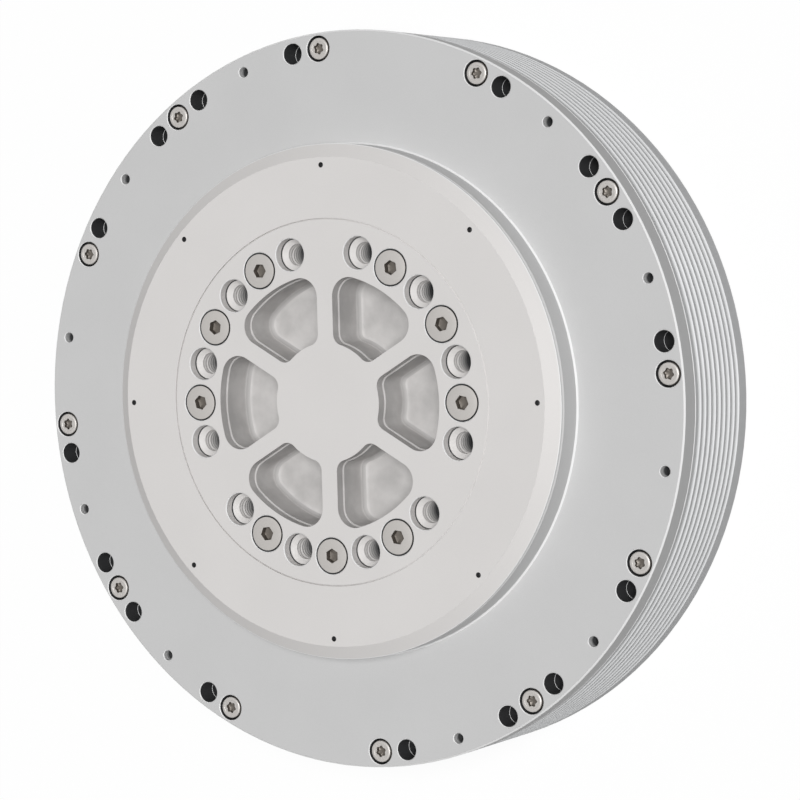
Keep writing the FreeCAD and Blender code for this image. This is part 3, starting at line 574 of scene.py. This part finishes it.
def rim_screws():
    """Low-head cap screws with a six-lobed drive in a shallow dish."""
    low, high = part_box("rim_screws")
    top = high.z
    head, shank, head_h, round_h = 3.4 * MM, 2.0 * MM, 4.0 * MM, 0.40 * MM
    rounding = ((0.12, 0.16), (0.35, 0.03), (0.60, 0.0))           # in from the side, down from the top
    dish_in, dish_slope, dish_d = 1.00 * MM, 0.10 * MM, 0.07 * MM
    drive, drive_d, drive_bevel = six_lobed(1.80 * MM, 1.42 * MM), 1.4 * MM, 0.12 * MM
    # the head's side gets painted shade, for the gap round the head
    rings = [(circle(shank), low.z, BRIGHT), (circle(shank), top - head_h, BRIGHT),
             (circle(head), top - head_h, PAINTED_DARK), (circle(head), top - round_h, PAINTED_DARK)]
    rings += [(circle(head - inward * MM), top - down * MM, BRIGHT) for inward, down in rounding]
    rings.append((circle(head - dish_in), top, BRIGHT))
    rings.append((circle(head - dish_in - dish_slope), top - dish_d, BRIGHT))
    rings += socket_rings(drive, top - dish_d, drive_d, drive_bevel)
    screw_set("rim_screw_set", "rim_screws", "housing", RIM_R, RIM_SCREWS, rings, 37)


def hub_screws():
    """Flat-head screws with a hexagon socket."""
    low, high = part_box("hub_screws")
    top = high.z
    head, shank, head_h, land, round_h = 5.28 * MM, 3.0 * MM, 2.85 * MM, 0.45 * MM, 0.12 * MM
    rounding = ((0.05, 0.03), (0.15, 0.0))                         # in from the side, down from the top
    drive, drive_d, drive_bevel = hexagon(4.0 * MM), 2.2 * MM, 0.08 * MM
    # the head's side gets painted shade, for the gap round the head
    rings = [(circle(shank), low.z, BRIGHT), (circle(shank), top - head_h, BRIGHT),
             (circle(head), top - land, PAINTED_DARK), (circle(head), top - round_h, PAINTED_DARK)]
    rings += [(circle(head - inward * MM), top - down * MM, BRIGHT) for inward, down in rounding]
    rings += socket_rings(drive, top, drive_d, drive_bevel)
    screw_set("hub_screw_set", "hub_screws", "output", HUB_R, HUB_SCREWS, rings, 23)


def thread(bm, at, root, depth, pitch, top, turns):
    """Ridge of one right-handed thread, down from the top, that starts as a thin edge."""
    sunk = root + 0.02 * MM                    # a little inside the hole's wall
    foot, crest = 0.5, 0.12                    # half widths, in pitches
    profile = [(sunk, -foot), (root - depth, -crest), (root - depth, crest), (sunk, foot)]
    last = None
    for k in range(turns * TURN_STEPS + 1):
        a = -2 * math.pi * k / TURN_STEPS
        z = top - pitch * k / TURN_STEPS
        full = min(1.0, k / TURN_STEPS)
        row = [bm.verts.new(at + round_point(sunk + (r - sunk) * full, a, z + rise * pitch))
               for r, rise in profile]
        if last is not None:
            for low, high, low_next, high_next in zip(last, last[1:], row, row[1:]):
                bm.faces.new((low, low_next, high_next, high))
        last = row


def thread_set(name, body, slot, pitch_circle, angles, **sizes):
    """Ridges of thread that stand on the walls of tapped holes."""
    bm = bmesh.new()
    for angle in angles:
        thread(bm, round_point(pitch_circle, math.radians(angle), 0), **sizes)
    add_piece(name, bm, body, (slot,))


def tapped_holes():
    thread_set("hub_threads", "output", SLOT_OF["carrier"], HUB_R, HUB_TAPS,
               root=HUB_TAP_R, depth=0.32 * MM, pitch=1.25 * MM, top=CARRIER_Z - 2.3 * MM, turns=9)
    thread_set("rim_threads", "housing", SLOT_OF["front_plate"], RIM_R, RIM_TAPS,
               root=RIM_TAP_R, depth=0.16 * MM, pitch=0.7 * MM, top=FRONT_Z - 0.8 * MM, turns=6)


# ---------------------------------------------------------------- stage
def key_light():
    """Far soft light. Its direction is given as the camera stands, with the part turned back."""
    data = bpy.data.lights.new("key", "SUN")
    data.energy = KEY_STRENGTH
    data.angle = math.radians(KEY_ANGLE)
    light = bpy.data.objects.new("key", data)
    bpy.context.scene.collection.objects.link(light)
    towards = turn(TURN, "Z") @ Vector(KEY_FROM).normalized()
    light.location = towards
    light.rotation_euler = towards.to_track_quat("Z", "Y").to_euler()


def seen_directly(tree):
    """1 for what the camera, a mirror or glass shows, 0 for the light that a surface gets."""
    path = tree.nodes.new("ShaderNodeLightPath")
    seen = path.outputs["Is Camera Ray"]
    for ray in ("Is Glossy Ray", "Is Transmission Ray"):
        either = tree.nodes.new("ShaderNodeMath")
        either.operation = "MAXIMUM"
        tree.links.new(seen, either.inputs[0])
        tree.links.new(path.outputs[ray], either.inputs[1])
        seen = either.outputs[0]
    return seen


def world():
    """White where it is seen, dim where it lights the part."""
    scene_world = bpy.data.worlds.new("studio")
    scene_world.use_nodes = True
    bpy.context.scene.world = scene_world
    tree = scene_world.node_tree
    lit = tree.nodes["Background"]
    lit.inputs["Color"].default_value = (1, 1, 1, 1)
    lit.inputs["Strength"].default_value = AMBIENT
    white = tree.nodes.new("ShaderNodeBackground")
    white.inputs["Color"].default_value = (1, 1, 1, 1)
    mix = tree.nodes.new("ShaderNodeMixShader")
    tree.links.new(seen_directly(tree), mix.inputs[0])
    tree.links.new(lit.outputs[0], mix.inputs[1])
    tree.links.new(white.outputs[0], mix.inputs[2])
    tree.links.new(mix.outputs[0], tree.nodes["World Output"].inputs[0])


def floor_material():
    """Pale where it is seen, with the part's shadow on it, and duller where it lights the part."""
    mat = bpy.data.materials.new("floor")
    mat.use_nodes = True
    tree = mat.node_tree
    bsdf = tree.nodes["Principled BSDF"]
    bsdf.inputs["Roughness"].default_value = FLOOR_ROUGH
    bsdf.inputs["Specular IOR Level"].default_value = 0.0
    seen = seen_directly(tree)
    tone = tree.nodes.new("ShaderNodeMapRange")
    tone.inputs["To Min"].default_value = FLOOR_TONE
    tone.inputs["To Max"].default_value = 1.0
    tree.links.new(seen, tone.inputs["Value"])
    tree.links.new(tone.outputs[0], bsdf.inputs["Base Color"])
    glow = tree.nodes.new("ShaderNodeEmission")
    glow.inputs["Strength"].default_value = 1.0
    share = tree.nodes.new("ShaderNodeMath")
    share.operation = "MULTIPLY"
    share.inputs[1].default_value = FLOOR_GLOW
    tree.links.new(seen, share.inputs[0])
    mix = tree.nodes.new("ShaderNodeMixShader")
    tree.links.new(share.outputs[0], mix.inputs[0])
    tree.links.new(bsdf.outputs[0], mix.inputs[1])
    tree.links.new(glow.outputs[0], mix.inputs[2])
    tree.links.new(mix.outputs[0], tree.nodes["Material Output"].inputs[0])
    return mat


def floor():
    """Plain floor under the rear face."""
    mesh = bpy.data.meshes.new("floor")
    corners = [(-FLOOR_HALF, -FLOOR_HALF, 0), (FLOOR_HALF, -FLOOR_HALF, 0),
               (FLOOR_HALF, FLOOR_HALF, 0), (-FLOOR_HALF, FLOOR_HALF, 0)]
    mesh.from_pydata(corners, [], [(0, 1, 2, 3)])
    mesh.materials.append(floor_material())
    obj = bpy.data.objects.new("floor", mesh)
    obj.location.z = -FLOOR_DROP
    bpy.context.scene.collection.objects.link(obj)


camera()
dress_nodes()
world()
floor()
key_light()
rim_screws()
hub_screws()
tapped_holes()

bpy.context.scene.view_settings.view_transform = "Standard"
